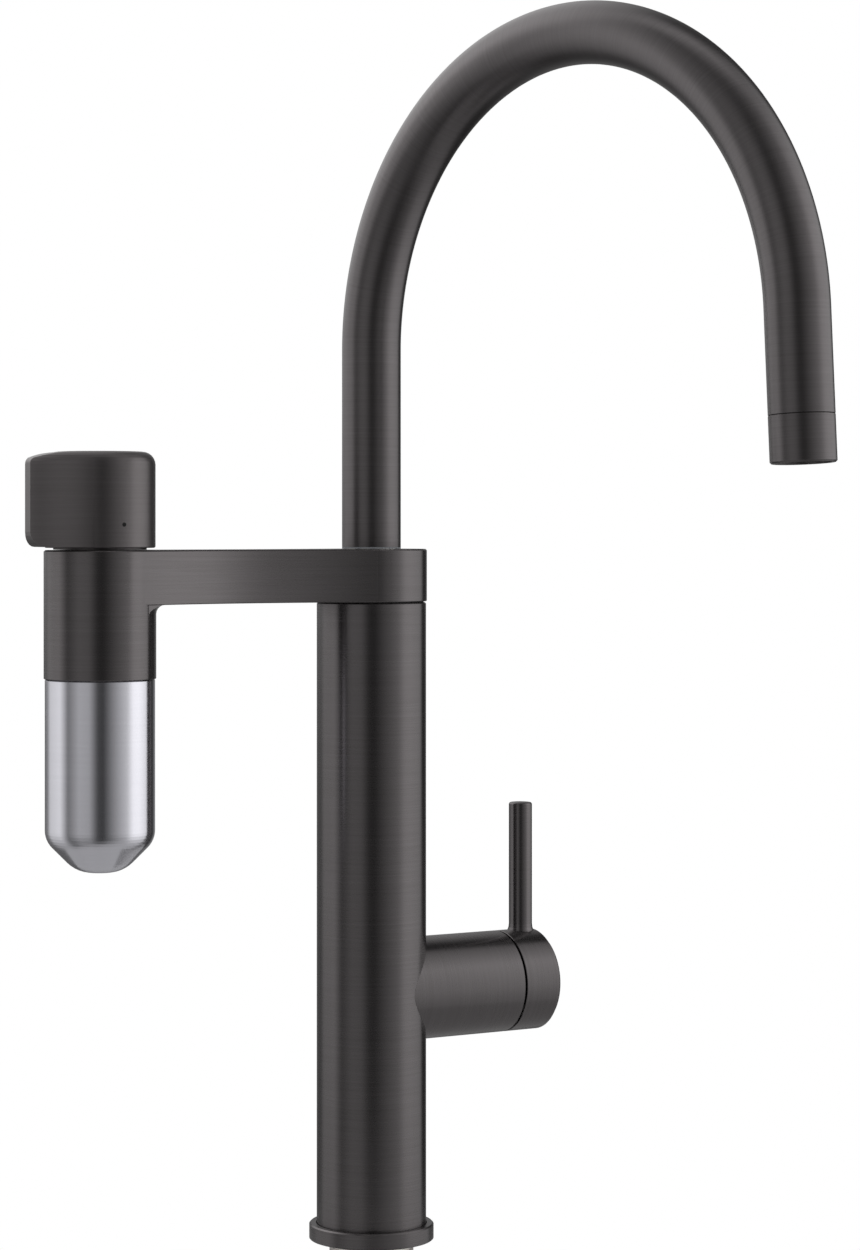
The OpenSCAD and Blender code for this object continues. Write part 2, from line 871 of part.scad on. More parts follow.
module knob_screw() {
  color(steel)
    on_filter_axis()
      difference() {
        drilling([0, 3.1, 263], [0, 9.4, 263], 1.45);
        translate([0, 7.4, 263]) rotate([-90, 0, 0]) cylinder(r = 0.85, h = 3, $fn = 6);
      }
}

// ---------------------------------------------------------------- capsule

shoulder_r = 8.5; // rounding between the capsule's side and its cone
foot_round = 12;  // rounding between its cone and its bottom
foot_x = capsule_foot_r - foot_round * tan(22.5);
foot_z = capsule_bottom + foot_round;
shoulder_x = capsule_r - shoulder_r;
shoulder_z = foot_z + shoulder_x - foot_x + (shoulder_r - foot_round) * sqrt(2);

// Outline of the capsule's outside, or of its inside when it is drawn in by the wall.
function capsule_outline(wall) =
  concat(arc(shoulder_x, shoulder_z, shoulder_r - wall, 0, -45),
         arc(foot_x, foot_z, foot_round - wall, -45, -90), [[0, capsule_bottom + wall]]);

module capsule_cup() {
  color(steel)
    on_filter_axis()
      difference() {
        union() {
          rotate_extrude()
            polygon(concat([[0, capsule_top], [capsule_r - 0.3, capsule_top],
                            [capsule_r, capsule_top - 0.3]], capsule_outline(0)));
          rod(16.9, capsule_top - cut, 219);
        }
        rotate_extrude() polygon(concat([[0, 200], [capsule_r - capsule_wall, 200]],
                                        capsule_outline(capsule_wall)));
        rod(15.6, 199, 220);
        ring(15.8, 18, 215, 216.6);
      }
}

module capsule_o_ring() {
  color(rubber) on_filter_axis() o_ring(16.47, 215.8);
}

module filter_element() {
  color(white)
    on_filter_axis()
      rotate_extrude() polygon([[0, 146], [8.5, 146], [15.2, 155], [15.2, 204], [0, 204]]);
}

module element_cap() {
  color(grey_plastic)
    on_filter_axis()
      difference() {
        union() {
          rod(15.2, 204, 209);
          rod(5.2, 208, 226.5);
        }
        rod(2.6, 203, 228);
        for (z = [213, 223.5]) ring(4, 6, z - 0.75, z + 0.75);
        for (i = [0:7]) rotate([0, 0, 45 * i]) translate([10.5, 0, 0]) rod(1.6, 203, 210);
      }
}

module element_o_rings() {
  color(rubber) on_filter_axis() for (z = [213, 223.5]) o_ring(4.65, z);
}

base_flange();
base_seal();
column();
lever_housing();
shank();
deck_gasket();
deck_washer();
deck_nut();
valve_manifold();
mixed_water_pipe();
filter_feed_pipe();
column_head();
hub_washer();
hub_o_rings();
hub_screw();
swivel_bush();
spout_screw();
slide_ring();
spout_foot();
foot_o_rings();
spout_tube();
filtered_water_tube();
outlet_ring();
outlet_seal();
outlet_jet();
filtered_nozzle();
cartridge_seals();
cartridge_housing();
fixed_disc();
cartridge_nut();
dome_ring();
moving_disc();
disc_driver();
cartridge_carrier();
stem_pin();
stem();
lever_cap();
lever_rod();
lever_screw();
filter_arm();
valve_housing();
valve_nut();
valve_seal();
valve_fixed_disc();
valve_turning_disc();
valve_spindle();
spindle_o_ring();
filter_knob();
knob_index_dot();
knob_screw();
filter_element();
element_cap();
element_o_rings();
capsule_cup();
capsule_o_ring();
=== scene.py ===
"""A kitchen mixer tap in brushed gunmetal with a satin steel filter capsule.

The operators below dress the tap's solids group by group and set the studio round them.
Lengths are in metres. The column stands on the Z axis, the lever is at +X and the filter at -X.
"""

import math

import bmesh
import bpy
from bpy.props import FloatProperty, FloatVectorProperty, IntProperty, PointerProperty
from mathutils import Matrix, Vector


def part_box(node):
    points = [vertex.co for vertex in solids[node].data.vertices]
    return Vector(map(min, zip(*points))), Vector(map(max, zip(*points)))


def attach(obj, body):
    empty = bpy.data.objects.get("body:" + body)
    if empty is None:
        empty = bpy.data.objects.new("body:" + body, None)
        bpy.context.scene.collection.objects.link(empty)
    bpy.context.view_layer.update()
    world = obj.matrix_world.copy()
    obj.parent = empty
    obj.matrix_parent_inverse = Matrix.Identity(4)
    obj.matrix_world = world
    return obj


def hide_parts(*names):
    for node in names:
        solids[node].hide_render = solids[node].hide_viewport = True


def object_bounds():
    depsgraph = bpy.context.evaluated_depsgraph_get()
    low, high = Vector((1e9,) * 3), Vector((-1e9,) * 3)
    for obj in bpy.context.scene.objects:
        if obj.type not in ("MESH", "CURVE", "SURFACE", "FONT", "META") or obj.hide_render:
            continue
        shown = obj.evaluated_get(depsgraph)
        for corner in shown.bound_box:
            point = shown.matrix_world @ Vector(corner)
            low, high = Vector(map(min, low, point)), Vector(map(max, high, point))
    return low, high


bl_info = {
    "name": "Kitchen Mixer Tap",
    "version": (1, 0, 0),
    "blender": (4, 5, 0),
    "location": "3D View > Sidebar > Tap",
    "description": "Dresses the solids of a kitchen mixer tap and sets its studio",
    "category": "Object",
}

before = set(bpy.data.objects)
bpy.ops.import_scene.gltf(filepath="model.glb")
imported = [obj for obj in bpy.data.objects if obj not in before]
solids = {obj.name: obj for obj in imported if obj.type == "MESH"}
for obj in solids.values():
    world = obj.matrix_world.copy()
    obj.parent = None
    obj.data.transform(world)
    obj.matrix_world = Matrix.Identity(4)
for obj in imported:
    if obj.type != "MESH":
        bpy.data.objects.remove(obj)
cad_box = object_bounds()

MM = 0.001
UP = Vector((0, 0, 1))
LEVER_Z = sum(c.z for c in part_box("dome_ring")) / 2
FILTER_X = sum(c.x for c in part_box("capsule_cup")) / 2
ROD_X = sum(c.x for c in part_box("lever_rod")) / 2
RISER_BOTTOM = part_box("spout_tube")[0].z
SPOUT_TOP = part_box("spout_tube")[1].z
SHANK_LOW, SHANK_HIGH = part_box("shank")

FLOAT, WHOLE, MATERIAL = "NodeSocketFloat", "NodeSocketInt", "NodeSocketMaterial"
VECTOR, COLOUR = "NodeSocketVector", "NodeSocketColor"

# The worktop fixing. AROUND is the number of faces round a turned shape
SHANK_WALL, SHANK_ROUNDING, SHANK_AROUND = 2.5 * MM, 0.3 * MM, 128
ROUNDING_STEPS = 5
# An outline's runs over this get a narrow band at both ends, which keeps their shading flat
LONG_RUN, END_BAND = 1.5 * MM, 0.3 * MM
THREAD_AROUND = 64
RIDGE_FOOT, RIDGE_CREST = 0.46, 0.08  # half widths of the thread's ridge, in pitches
RIDGE_SUNK = 0.3  # how far the ridge's foot stands inside the core, in thread depths
NUT_PLAY, NUT_AROUND, NUT_SLOPE = 0.05 * MM, 192, math.radians(30)
NUT_CLEAR = 0.5 * MM  # how far the shape that turns the corners off reaches past them
WELD = 1e-7  # points nearer than this become one

# Edges that turn by more than this stay sharp
TURNED_SHARP, NUT_SHARP = math.radians(35), math.radians(20)
THREAD_SHARP, SPOUT_SHARP = math.radians(30), math.radians(40)

# Brushed grain: noise cells in a metre across its lines and along them, and, where the lines run
# round the spout, noise cells from the tube's middle to its skin
GRAIN_LINES, GRAIN_DRIFT, RING_DRIFT = 4000.0, 40.0, 0.45
STREAK_SCALE = 0.22  # the broad streaks' scale to that of the fine lines
LINE_SHARE, STREAK_SHARE = 0.65, 0.35
DARK_LINE, LIGHT_LINE = 0.33, 0.67  # noise levels that take the darker and the lighter colour
MARK_SHARE = 1.2  # weight of the wipe marks in the roughness, next to the grain
PIT_SHARE = 0.25  # swing of the roughness between a moulded surface's pits
TOP_FACING = 0.8  # a face counts as a top where its normal's Z is over this
# Across the straight lines: Z on the sides and, from the small rest that is left, Y on tops
ACROSS_STRAIGHT = (0, 0.001, 1)
RELIEF_DEPTH = 0.1 * MM

# The studio
WHITE = (1, 1, 1, 1)
FLOOR_TONES = (0.9, 0.9, 0.9, 1), (0.93, 0.93, 0.93, 1)
FLOOR_CORE = 0.06  # radius up to which the floor is matt
FLOOR_RIM = 0.97  # share of the floor's radius from which it is white
CARDS_HEIGHT = 0.25
MOST_LEVEL = 2.0  # no level in the two tables below is above this
# Brightness of the studio's surround, as (degrees right of the camera, level)
SURROUND = ((-180, 0.3), (-165, 0.18), (-152, 0.14), (-132, 0.2), (-118, 0.68), (-85, 0.88),
            (-66, 0.18), (-42, 0.47), (-22, 0.42), (-12, 0.2), (-5, 0.07), (6, 0.05), (14, 0.13),
            (30, 0.32), (58, 0.66), (74, 1.22), (90, 1.27), (110, 1.05), (124, 0.8), (134, 0.03),
            (152, 0.05), (163, 0.2), (180, 0.3))
# How that brightness falls off above and below the horizon, as (degrees up, share)
RISE = ((-90, 0.3), (-57, 0.3), (-36, 0.5), (-12, 0.9), (8, 1.05), (29, 1.1), (42, 0.76),
        (53, 0.55), (62, 0.42), (78, 0.4), (84, 0.6), (90, 0.65))
# A window high behind the tap and a small lamp overhead: (degrees right, degrees up, inner and
# outer radius, level)
WINDOWS = ((-140, 38, 10, 45, 1.1), (0, 90, 6, 22, 0.5))
LAMP_AIM = Vector((0, 0, 0.18))
# Name, place to the right, to the back and up, size and power of the lamps
LAMPS = (("key_lamp", 1.0, -0.9, 1.5, 1.0, 9.0), ("fill_lamp", -1.3, -0.7, 0.9, 1.2, 4.0))


def length(name, text, default, **more):
    """A length that the user can change."""
    return FloatProperty(name=name, description=text, default=default, min=0.0, unit="LENGTH",
                         subtype="DISTANCE", precision=5, **more)


def share(name, text, default):
    """A value between none and all."""
    return FloatProperty(name=name, description=text, default=default, min=0.0, max=1.0,
                         subtype="FACTOR")


def colour(name, text, default):
    """A colour that the user can change."""
    return FloatVectorProperty(name=name, description=text, default=default, size=3,
                               subtype="COLOR", min=0.0, max=1.0)


class TapSpoutSizes(bpy.types.PropertyGroup):
    """Sizes of the swept spout tube."""

    tube: length("Tube Radius", "Outer radius of the spout tube", 0.01075)
    wall: length("Wall", "Wall thickness of the spout tube", 0.0015)
    arch: length("Arch Radius", "Radius of the arch to the middle of the tube", 0.1043)
    sweep: FloatProperty(name="Sweep", description="Angle that the arch turns through",
                         default=math.radians(176.9), subtype="ANGLE", unit="ROTATION")
    straight: length("Straight End", "Length of tube after the arch", 0.03408)
    turn: FloatProperty(name="Turn", description="How far the spout stands turned to the lever",
                        default=math.radians(8.7), subtype="ANGLE", unit="ROTATION")
    around: IntProperty(name="Faces Around", description="Faces round the tube", default=72,
                        min=12)
    steps: IntProperty(name="Steps", description="Steps along the tube", default=300, min=12)


class TapFixingSizes(bpy.types.PropertyGroup):
    """Sizes of the threads and the nut under the worktop."""

    pitch: length("Thread Pitch", "Rise of one turn of the shank's thread", 0.0015)
    depth: length("Thread Depth", "Depth of the shank's thread", 0.0009)
    nut_chamfer: length("Nut Chamfer", "How far the nut's corners are turned off", 0.0016)


class TapFinish(bpy.types.PropertyGroup):
    """Colours and surface of the tap's finishes."""

    gunmetal: colour("Gunmetal", "Colour of the coated parts", (0.152, 0.1415, 0.1445))
    gunmetal_shade: colour("Gunmetal Grain", "Darker lines of the brushed grain",
                           (0.126, 0.117, 0.118))
    gunmetal_rough: share("Gunmetal Roughness", "Roughness of the coated parts", 0.27)
    gunmetal_soft: share("Soft Gunmetal Roughness", "Roughness of the spout", 0.35)
    knob: colour("Knob", "Colour of the filter knob", (0.172, 0.16, 0.162))
    knob_shade: colour("Knob Grain", "Darker lines of the knob's grain", (0.148, 0.137, 0.138))
    knob_rough: share("Knob Roughness", "Roughness of the filter knob", 0.42)
    stainless: colour("Stainless", "Colour of the capsule", (0.8, 0.795, 0.85))
    stainless_shade: colour("Stainless Grain", "Darker lines of the satin grain",
                            (0.75, 0.745, 0.8))
    stainless_rough: share("Stainless Roughness", "Roughness of the capsule", 0.24)
    brass: colour("Brass", "Colour of the machined inner parts", (0.66, 0.47, 0.2))
    nickel: colour("Nickel", "Colour of the plated fixing", (0.66, 0.64, 0.6))
    copper: colour("Copper", "Colour of the inner pipes", (0.66, 0.33, 0.2))
    rubber: colour("Rubber", "Colour of the seals", (0.018, 0.018, 0.019))


class TapStudio(bpy.types.PropertyGroup):
    """Camera and light."""

    bearing: FloatProperty(name="Camera Bearing", description="Camera's turn from the front",
                           default=math.radians(31.5), subtype="ANGLE", unit="ROTATION")
    distance: length("Camera Distance", "Distance from the column, along the view", 1.24)
    aside: length("Camera Offset", "How far the column stands right of the view's axis", 0.00966)
    height: length("Camera Height", "Height of the camera over the worktop", 0.261)
    lens: FloatProperty(name="Lens", description="Focal length in millimetres", default=97.63,
                        min=1.0, unit="CAMERA")
    shift: FloatVectorProperty(name="Shift", description="Lens shift for the framing", size=2,
                               default=(0.068, -0.0808))
    floor_radius: length("Floor Radius", "Radius of the pale floor", 0.26)
    floor_mirrored: share("Mirrored Floor", "Level of the floor in the metal's mirror image", 0.4)
    fill: share("Fill", "Level of the light from all sides", 0.62)


class Tree:
    """Adds nodes to a node tree, each with its values and links in one call."""

    def __init__(self, tree):
        self.tree = tree

    def add(self, kind, inputs=None, **settings):
        node = self.tree.nodes.new(kind)
        for key, value in settings.items():
            setattr(node, key, value)
        for key, value in (inputs or {}).items():
            self.put(node.inputs[key], value)
        return node

    def put(self, socket, value):
        if isinstance(value, bpy.types.NodeSocket):
            self.tree.links.new(value, socket)
        else:
            socket.default_value = value

    def math(self, operation, *values):
        return self.add("ShaderNodeMath", dict(enumerate(values)), operation=operation).outputs[0]

    def vector(self, operation, *values):
        node = self.add("ShaderNodeVectorMath", operation=operation)
        for i, value in enumerate(values):
            self.put(node.inputs["Scale" if operation == "SCALE" and i == 1 else i], value)
        return node.outputs["Value" if operation in ("DOT_PRODUCT", "LENGTH") else "Vector"]

    def mix(self, kind, factor, a, b):
        first, second, mixed = {"FLOAT": (2, 3, 0), "RGBA": (6, 7, 2)}[kind]
        node = self.add("ShaderNodeMix", data_type=kind)
        for socket, value in ((0, factor), (first, a), (second, b)):
            self.put(node.inputs[socket], value)
        return node.outputs[mixed]

    def noise(self, place, scale, detail, roughness=0.5):
        return self.add("ShaderNodeTexNoise", {"Vector": place, "Scale": scale, "Detail": detail,
                                               "Roughness": roughness}).outputs[0]

    def smooth_step(self, value, low, high, most=1.0):
        """Goes smoothly from none at low to the most at high."""
        return self.add("ShaderNodeMapRange", {"Value": value, "From Min": low, "From Max": high,
                                               "To Min": 0.0, "To Max": most},
                        interpolation_type="SMOOTHSTEP").outputs[0]

    def group(self, name, inputs):
        """Runs a shader node group and returns its outputs."""
        return self.add("ShaderNodeGroup", inputs, node_tree=bpy.data.node_groups[name]).outputs

    def rays(self):
        """The kinds of ray, and one for those that were mirrored or went through glass."""
        ray = self.add("ShaderNodeLightPath").outputs
        return ray, self.math("MAXIMUM", ray["Is Glossy Ray"], ray["Is Transmission Ray"])


def bare_tree(owner):
    """The emptied node tree of a material or a world."""
    owner.use_nodes = True
    owner.node_tree.nodes.clear()
    return Tree(owner.node_tree)


def shader_group(name, inputs, outputs):
    """A shader node group with named sockets: its tree, its input node and its output node."""
    tree = bpy.data.node_groups.new(name, "ShaderNodeTree")
    for title, kind, default in inputs:
        socket = tree.interface.new_socket(title, in_out="INPUT", socket_type=kind)
        if default is not None:
            socket.default_value = default
    for title, kind in outputs:
        tree.interface.new_socket(title, in_out="OUTPUT", socket_type=kind)
    made = Tree(tree)
    return made, made.add("NodeGroupInput"), made.add("NodeGroupOutput")


def turned_grain_group():
    """Where a point lies on a turned part, as a vector whose lines run round the axis."""
    t, given, result = shader_group(
        "Turned Grain",
        [("Place", VECTOR, None), ("Normal", VECTOR, None), ("Centre", VECTOR, (0, 0, 0)),
         ("Axis", VECTOR, (0, 0, 1)), ("Drift", FLOAT, GRAIN_DRIFT),
         ("Lines", FLOAT, GRAIN_LINES)],
        [("Grain", VECTOR), ("Across", VECTOR)])
    place = t.vector("SUBTRACT", given.outputs["Place"], given.outputs["Centre"])
    axis = given.outputs["Axis"]
    along = t.vector("DOT_PRODUCT", place, axis)
    radial = t.vector("SUBTRACT", place, t.vector("SCALE", axis, along))
    run = t.math("ADD", along, t.vector("LENGTH", radial))
    grain = t.vector("ADD", t.vector("SCALE", radial, given.outputs["Drift"]),
                     t.vector("SCALE", axis, t.math("MULTIPLY", run, given.outputs["Lines"])))
    round_axis = t.vector("CROSS_PRODUCT", axis, radial)
    across = t.vector("CROSS_PRODUCT", given.outputs["Normal"], round_axis)
    t.put(result.inputs["Grain"], grain)
    t.put(result.inputs["Across"], t.vector("NORMALIZE", across))


def straight_grain_group():
    """Where a point lies on a part that was brushed along its length, on sides and tops."""
    t, given, result = shader_group(
        "Straight Grain",
        [("Place", VECTOR, None), ("Normal", VECTOR, None), ("Drift", FLOAT, GRAIN_DRIFT),
         ("Lines", FLOAT, GRAIN_LINES)],
        [("Grain", VECTOR), ("Across", VECTOR)])
    parts = t.add("ShaderNodeSeparateXYZ", {0: given.outputs["Place"]})
    facing = t.add("ShaderNodeSeparateXYZ", {0: given.outputs["Normal"]})
    on_top = t.math("GREATER_THAN", t.math("ABSOLUTE", facing.outputs[2]), TOP_FACING)
    run = t.mix("FLOAT", on_top, parts.outputs[2], parts.outputs[1])
    slow = t.vector("SCALE", given.outputs["Place"], given.outputs["Drift"])
    lifted = t.add("ShaderNodeCombineXYZ", {2: t.math("MULTIPLY", run, given.outputs["Lines"])})
    t.put(result.inputs["Grain"], t.vector("ADD", slow, lifted.outputs[0]))
    t.put(result.inputs["Across"], ACROSS_STRAIGHT)


def brushed_group():
    """Brushed lines, broad streaks and faint wipe marks from a grain vector."""
    t, given, result = shader_group(
        "Brushed Surface",
        [("Grain", VECTOR, None), ("Place", VECTOR, None), ("Colour", COLOUR, (0.2, 0.2, 0.2, 1)),
         ("Line Colour", COLOUR, (0.15, 0.15, 0.15, 1)), ("Roughness", FLOAT, 0.3),
         ("Variation", FLOAT, 0.05)],
        [("Colour", COLOUR), ("Roughness", FLOAT), ("Height", FLOAT)])
    fine = t.noise(given.outputs["Grain"], 1.0, 3.0, 0.6)
    streaks = t.noise(t.vector("SCALE", given.outputs["Grain"], STREAK_SCALE), 1.0, 2.0)
    marks = t.noise(given.outputs["Place"], 55.0, 4.0, 0.55)
    lines = t.math("MULTIPLY_ADD", fine, LINE_SHARE, t.math("MULTIPLY", streaks, STREAK_SHARE))
    level = t.add("ShaderNodeMapRange", {"Value": lines, "From Min": DARK_LINE,
                                         "From Max": LIGHT_LINE})
    t.put(result.inputs["Colour"], t.mix("RGBA", level.outputs[0], given.outputs["Line Colour"],
                                         given.outputs["Colour"]))
    swing = t.math("ADD", t.math("SUBTRACT", lines, 0.5),
                   t.math("MULTIPLY", t.math("SUBTRACT", marks, 0.5), MARK_SHARE))
    t.put(result.inputs["Roughness"],
          t.math("MULTIPLY_ADD", swing, given.outputs["Variation"], given.outputs["Roughness"]))
    t.put(result.inputs["Height"], lines)


def mottled_group():
    """Cloudy tone and small pits for moulded, cast and rubber parts."""
    t, given, result = shader_group(
        "Moulded Surface",
        [("Place", VECTOR, None), ("Colour", COLOUR, (0.5, 0.5, 0.5, 1)),
         ("Spread", FLOAT, 0.12), ("Pit Size", FLOAT, 900.0), ("Roughness", FLOAT, 0.5)],
        [("Colour", COLOUR), ("Roughness", FLOAT), ("Height", FLOAT)])
    cloud = t.noise(given.outputs["Place"], 70.0, 5.0, 0.6)
    pits = t.noise(given.outputs["Place"], given.outputs["Pit Size"], 2.0)
    gain = t.math("MULTIPLY_ADD", t.math("SUBTRACT", cloud, 0.5), given.outputs["Spread"], 1.0)
    t.put(result.inputs["Colour"], t.vector("SCALE", given.outputs["Colour"], gain))
    t.put(result.inputs["Roughness"],
          t.math("MULTIPLY_ADD", t.math("SUBTRACT", pits, 0.5), PIT_SHARE,
                 given.outputs["Roughness"]))
    t.put(result.inputs["Height"], pits)


def new_material(name):
    """Starts a material: its tree, its shader and the object's own coordinates."""
    t = bare_tree(bpy.data.materials.new(name))
    shader = t.add("ShaderNodeBsdfPrincipled")
    t.add("ShaderNodeOutputMaterial", {"Surface": shader.outputs[0]})
    return t, shader, t.add("ShaderNodeTexCoord").outputs


def put_surface(t, shader, surface, metallic, bump):
    """Links the colour, the roughness and the relief that a surface group gives."""
    t.put(shader.inputs["Base Color"], surface["Colour"])
    t.put(shader.inputs["Roughness"], surface["Roughness"])
    t.put(shader.inputs["Metallic"], metallic)
    relief = t.add("ShaderNodeBump", {"Height": surface["Height"], "Strength": bump,
                                      "Distance": RELIEF_DEPTH})
    t.put(shader.inputs["Normal"], relief.outputs[0])


def brushed_metal(name, colour, shade, rough, grain, stretch=0.8, variation=0.06, bump=0.04,
                  metallic=0.93):
    """Brushed metal. grain is "straight", "swept" or the (centre, axis) it was turned on."""
    t, shader, own = new_material(name)
    place, normal = own["Object"], own["Normal"]
    if grain == "straight":
        vector, across = t.group("Straight Grain", {"Place": place, "Normal": normal})
    elif grain == "swept":
        along = t.add("ShaderNodeAttribute", attribute_name="along").outputs["Fac"]
        ring = t.add("ShaderNodeAttribute", attribute_name="ring").outputs["Vector"]
        across = t.add("ShaderNodeAttribute", attribute_name="run").outputs["Vector"]
        lift = t.add("ShaderNodeCombineXYZ", {2: t.math("MULTIPLY", along, GRAIN_LINES)})
        vector = t.vector("ADD", t.vector("SCALE", ring, RING_DRIFT), lift.outputs[0])
    else:
        centre, axis = grain
        vector, across = t.group("Turned Grain", {"Place": place, "Normal": normal,
                                                  "Centre": centre, "Axis": axis})
    surface = t.group("Brushed Surface", {
        "Grain": vector, "Place": place, "Colour": (*colour, 1), "Line Colour": (*shade, 1),
        "Roughness": rough, "Variation": variation})
    put_surface(t, shader, surface, metallic, bump)
    t.put(shader.inputs["Anisotropic"], stretch)
    tangent = t.add("ShaderNodeVectorTransform", {0: across}, vector_type="VECTOR",
                    convert_from="OBJECT", convert_to="WORLD")
    t.put(shader.inputs["Tangent"], tangent.outputs[0])


def moulded(name, colour, rough, spread=0.12, pits=900.0, metallic=0.0, bump=0.1, sheen=0.0):
    """Plastic, rubber, ceramic or plain machined metal."""
    t, shader, own = new_material(name)
    surface = t.group("Moulded Surface", {
        "Place": own["Object"], "Colour": (*colour, 1), "Spread": spread, "Pit Size": pits,
        "Roughness": rough})
    put_surface(t, shader, surface, metallic, bump)
    t.put(shader.inputs["Sheen Weight"], sheen)


def finish_of(name):
    return bpy.data.materials[name]


def dress(finish, *names):
    """Gives the named solids a finish."""
    for name in names:
        for slot in solids[name].material_slots:
            slot.material = finish_of(finish)


def new_object(name, data):
    """Adds an object to the scene."""
    made = bpy.data.objects.new(name, data)
    bpy.context.scene.collection.objects.link(made)
    return made


def add_mesh(name, mesh, body, slot, *replaced):
    """Shows a finished mesh as a piece that rides on a body and stands for some solids."""
    piece = new_object(name, mesh)
    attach(piece, body)
    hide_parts(*replaced)


def mesh_from(name, form):
    """Turns an edit mesh into a mesh and frees it."""
    mesh = bpy.data.meshes.new(name)
    form.to_mesh(mesh)
    form.free()
    return mesh


def plain_mesh(obj, name):
    """The evaluated mesh of an object, as a mesh of its own; the object is removed."""
    bpy.context.view_layer.update()
    state = bpy.context.evaluated_depsgraph_get()
    mesh = bpy.data.meshes.new_from_object(obj.evaluated_get(state), depsgraph=state,
                                           preserve_all_data_layers=True)
    mesh.name = name
    bpy.data.objects.remove(obj)
    return mesh


def shade(mesh, sharp):
    """Shades a mesh smooth, apart from the edges that turn by more than an angle."""
    mesh.shade_smooth()
    mesh.set_sharp_from_angle(angle=sharp)


def rounded(corners):
    """Rounds the corners, given as (radius, height, rounding), of a closed outline."""
    path = []
    for i, (x, y, rounding) in enumerate(corners):
        here = Vector((x, y))
        back = (Vector(corners[i - 1][:2]) - here).normalized()
        on = (Vector(corners[(i + 1) % len(corners)][:2]) - here).normalized()
        half = back.angle(on) / 2
        reach = rounding / math.tan(half)
        start, end = here + back * reach, here + on * reach
        middle = here + (back + on).normalized() * (rounding / math.sin(half))
        first = start - middle
        turn = first.angle_signed(end - middle)
        for k in range(ROUNDING_STEPS + 1):
            part = -turn * k / ROUNDING_STEPS
            path.append(middle + Matrix.Rotation(part, 2) @ first)
    steady = []
    for here, following in zip(path, path[1:] + path[:1]):
        steady.append(here)
        on = following - here
        if on.length > LONG_RUN:
            band = on.normalized() * END_BAND
            steady += [here + band, here + on - band]
    return steady


def lathe(name, outline, around):
    """Turns a closed outline of (radius, height) round Z into a mesh."""
    form = bmesh.new()
    angles = [2 * math.pi * k / around for k in range(around)]
    rings = [[form.verts.new((point.x * math.cos(a), point.x * math.sin(a), point.y))
              for a in angles] for point in outline]
    for low, high in zip(rings, rings[1:] + rings[:1]):
        for k in range(around):
            n = (k + 1) % around
            form.faces.new((low[k], low[n], high[n], high[k]))
    return close_mesh(name, form)


def close_mesh(name, form):
    """Welds an edit mesh, points its faces outwards and turns it into a shaded mesh."""
    bmesh.ops.remove_doubles(form, verts=form.verts, dist=WELD)
    bmesh.ops.recalc_face_normals(form, faces=form.faces)
    mesh = mesh_from(name, form)
    shade(mesh, TURNED_SHARP)
    return mesh


def hex_nut(name, low, high, bore, chamfer):
    """A hexagonal nut with its points along X, whose corners are turned off on both faces."""
    points = high.x
    reach = points + NUT_CLEAR
    drop = (reach - points + chamfer) * math.tan(NUT_SLOPE)
    form = bmesh.new()
    bmesh.ops.create_cone(form, cap_ends=True, segments=6, radius1=points, radius2=points,
                          depth=high.z - low.z)
    form.transform(Matrix.Translation((0, 0, (low.z + high.z) / 2))
                   @ Matrix.Rotation(math.pi / 2, 4, "Z"))
    body = new_object("work", close_mesh("work", form))
    outline = ((bore, low.z), (points - chamfer, low.z), (reach, low.z + drop),
               (reach, high.z - drop), (points - chamfer, high.z), (bore, high.z))
    skin = lathe("turned_off", [Vector(point) for point in outline], NUT_AROUND)
    cutter = new_object("work", skin)
    crossed = body.modifiers.new("Boolean", "BOOLEAN")
    crossed.operation = "INTERSECT"
    crossed.solver = "EXACT"
    crossed.object = cutter
    mesh = plain_mesh(body, name)
    bpy.data.objects.remove(cutter)
    shade(mesh, NUT_SHARP)
    return mesh


def geometry_tree(name, inputs):
    """A geometry node tree with named inputs: its tree, its input node and its output node."""
    tree = bpy.data.node_groups.new(name, "GeometryNodeTree")
    tree.interface.new_socket("Geometry", in_out="INPUT", socket_type="NodeSocketGeometry")
    for title, kind in inputs:
        tree.interface.new_socket(title, in_out="INPUT", socket_type=kind)
    tree.interface.new_socket("Geometry", in_out="OUTPUT", socket_type="NodeSocketGeometry")
    made = Tree(tree)
    return made, made.add("NodeGroupInput"), made.add("NodeGroupOutput")


def end_tree(t, geometry, finish, result):
    """Ends a geometry node tree with real geometry in the finish that is handed in."""
    real = t.add("GeometryNodeRealizeInstances", {0: geometry})
    dressed = t.add("GeometryNodeSetMaterial", {"Geometry": real.outputs[0], "Material": finish})
    t.put(result.inputs[0], dressed.outputs[0])


def stored(t, geometry, name, kind, value):
    """Stores a value on every point of a geometry, for the materials to read."""
    node = t.add("GeometryNodeStoreNamedAttribute", {"Geometry": geometry, "Name": name},
                 data_type=kind, domain="POINT")
    t.put([s for s in node.inputs if s.name == "Value" and s.enabled][0], value)
    return node.outputs[0]


def run_tree(t, values, modifiers=()):
    """Runs a geometry node tree and then some modifiers, and returns the plain mesh."""
    base = new_object("work", bpy.data.meshes.new("work"))
    nodes = base.modifiers.new("Nodes", "NODES")
    nodes.node_group = t.tree
    for item in t.tree.interface.items_tree:
        if item.in_out == "INPUT" and item.name in values:
            nodes[item.identifier] = values[item.name]
    for kind, settings in modifiers:
        extra = base.modifiers.new(kind, kind)
        for key, value in settings.items():
            setattr(extra, key, value)
    return plain_mesh(base, t.tree.name)


